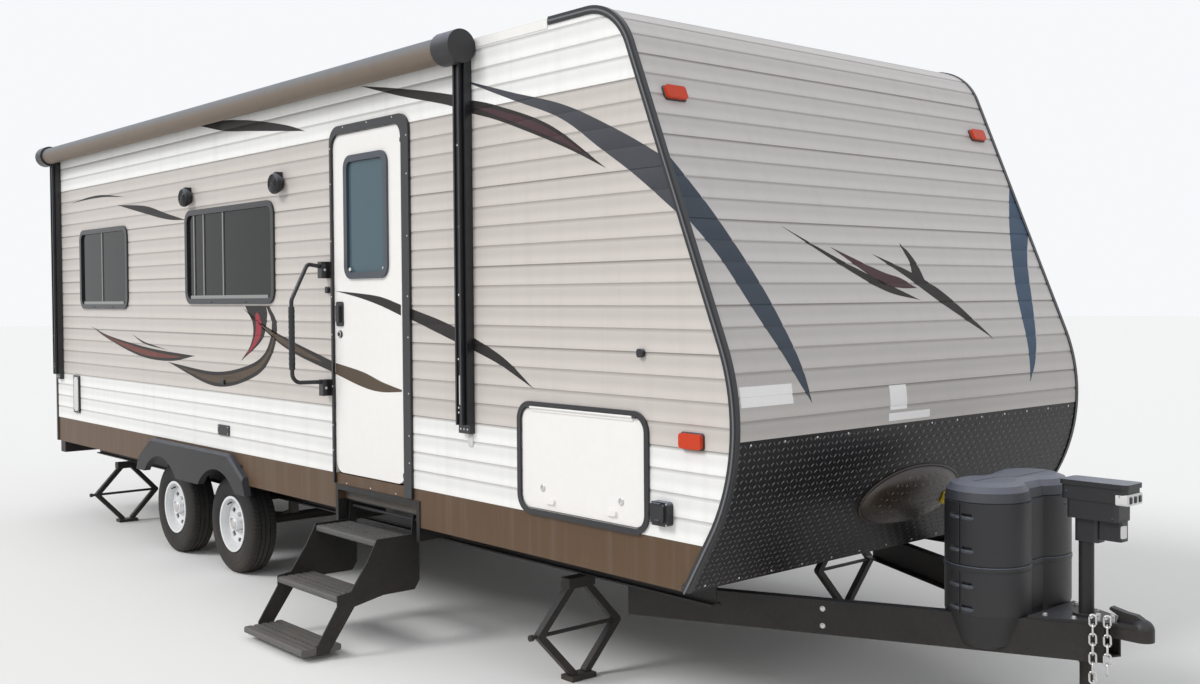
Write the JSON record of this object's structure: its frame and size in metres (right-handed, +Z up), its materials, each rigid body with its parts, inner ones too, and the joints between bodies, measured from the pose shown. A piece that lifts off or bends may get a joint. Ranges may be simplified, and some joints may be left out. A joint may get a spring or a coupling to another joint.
{
  "type": "travel caravan",
  "caption": "Tandem-axle travel caravan with raked front, sheeted hollow body, opening entry door and hatches, stowed awning, fold-out step and A-shaped tongue.",
  "frame": {"origin": "centre of the hitch ball in the coupler's socket", "axes": "+X forward along the length, towards the hitch, +Y left, +Z up; the entry door is on the -Y side"},
  "size_m": [8.4469, 3.041, 3.2303],
  "materials": {
    "deck": "matt",
    "roof_membrane": "matt",
    "sheet": "satin",
    "tread_plate": "satin",
    "brown_sheet": "satin",
    "black_trim": "satin",
    "grey_trim": "satin",
    "tinted_glass": "gloss",
    "white_skin": "satin",
    "black_plastic": "satin",
    "amber_lens": "gloss",
    "red_lens": "gloss",
    "awning_fabric": "matt",
    "black_steel": "satin",
    "spring_steel": "dull",
    "tyre": "matt",
    "white_steel": "gloss",
    "white_plastic": "matt",
    "zinc_steel": "bright",
    "alloy_trim": "satin"
  },
  "bodies": {
    "caravan": {"air_conditioner": "black_plastic", "awning_arms": "black_trim", "awning_end_caps": "black_plastic", "awning_roller": "awning_fabric", "axles": "black_steel", "chassis_rails": "black_steel", "corner_mouldings": "black_trim", "coupler": "black_steel", "cross_members": "black_steel", "door_frame": "black_trim", "fender_skirts": "black_plastic", "floor": "deck", "gas_base": "black_plastic", "gas_cover": "black_plastic", "grab_handle": "black_trim", "gutter_rails": "white_skin", "hatch_frames": "black_trim", "marker_lamps": "amber_lens", "rear_bumper": "black_steel", "roof": "roof_membrane", "roof_vents": "white_plastic", "safety_chains": "zinc_steel", "siding": "sheet", "skirts": "brown_sheet", "speakers": "black_plastic", "springs": "spring_steel", "stabilisers": "black_steel", "step_box": "black_steel", "step_sides": "black_steel", "step_treads": "black_steel", "stone_guard": "tread_plate", "tail_lamps": "red_lens", "tongue_jack": "black_steel", "tongue_jack_head": "black_plastic", "tongue_rails": "black_steel", "wall_door_side": "sheet", "wall_fittings": "black_plastic", "wall_front": "sheet", "wall_rear": "sheet", "wall_road_side": "sheet", "window_frames": "black_trim", "window_panes": "tinted_glass", "window_sashes": "alloy_trim"},
    "wheel_front_left": {"tyre_front_left": "tyre", "rim_front_left": "white_steel"},
    "wheel_front_right": {"tyre_front_right": "tyre", "rim_front_right": "white_steel"},
    "wheel_rear_left": {"tyre_rear_left": "tyre", "rim_rear_left": "white_steel"},
    "wheel_rear_right": {"tyre_rear_right": "tyre", "rim_rear_right": "white_steel"},
    "entry_door": {"door_leaf": "white_skin", "door_window_frame": "grey_trim", "door_pane": "tinted_glass", "door_lock": "black_plastic"},
    "hatch_door_side": {"hatch_door_side": "white_skin"},
    "hatch_road_side": {"hatch_road_side": "white_skin"}
  },
  "joints": [
    {"name": "spin_front_left", "type": "hinge", "parent": "caravan", "child": "wheel_front_left", "pos_m": [-5.225, 1.077, -0.145], "axis": [0, 1, 0], "continuous": true},
    {"name": "spin_front_right", "type": "hinge", "parent": "caravan", "child": "wheel_front_right", "pos_m": [-5.225, -1.077, -0.145], "axis": [0, 1, 0], "continuous": true},
    {"name": "spin_rear_left", "type": "hinge", "parent": "caravan", "child": "wheel_rear_left", "pos_m": [-6.103, 1.077, -0.145], "axis": [0, 1, 0], "continuous": true},
    {"name": "spin_rear_right", "type": "hinge", "parent": "caravan", "child": "wheel_rear_right", "pos_m": [-6.103, -1.077, -0.145], "axis": [0, 1, 0], "continuous": true},
    {"name": "entry_door_hinge", "type": "hinge", "parent": "caravan", "child": "entry_door", "pos_m": [-3.113, -1.229, 1.22], "axis": [0, 0, 1], "range_deg": [0, 150]},
    {"name": "hatch_hinge_door_side", "type": "hinge", "parent": "caravan", "child": "hatch_door_side", "pos_m": [-1.781, -1.227, 0.784], "axis": [-1, 0, 0], "range_deg": [0, 165]},
    {"name": "hatch_hinge_road_side", "type": "hinge", "parent": "caravan", "child": "hatch_road_side", "pos_m": [-1.781, 1.227, 0.784], "axis": [1, 0, 0], "range_deg": [0, 165]}
  ]
}
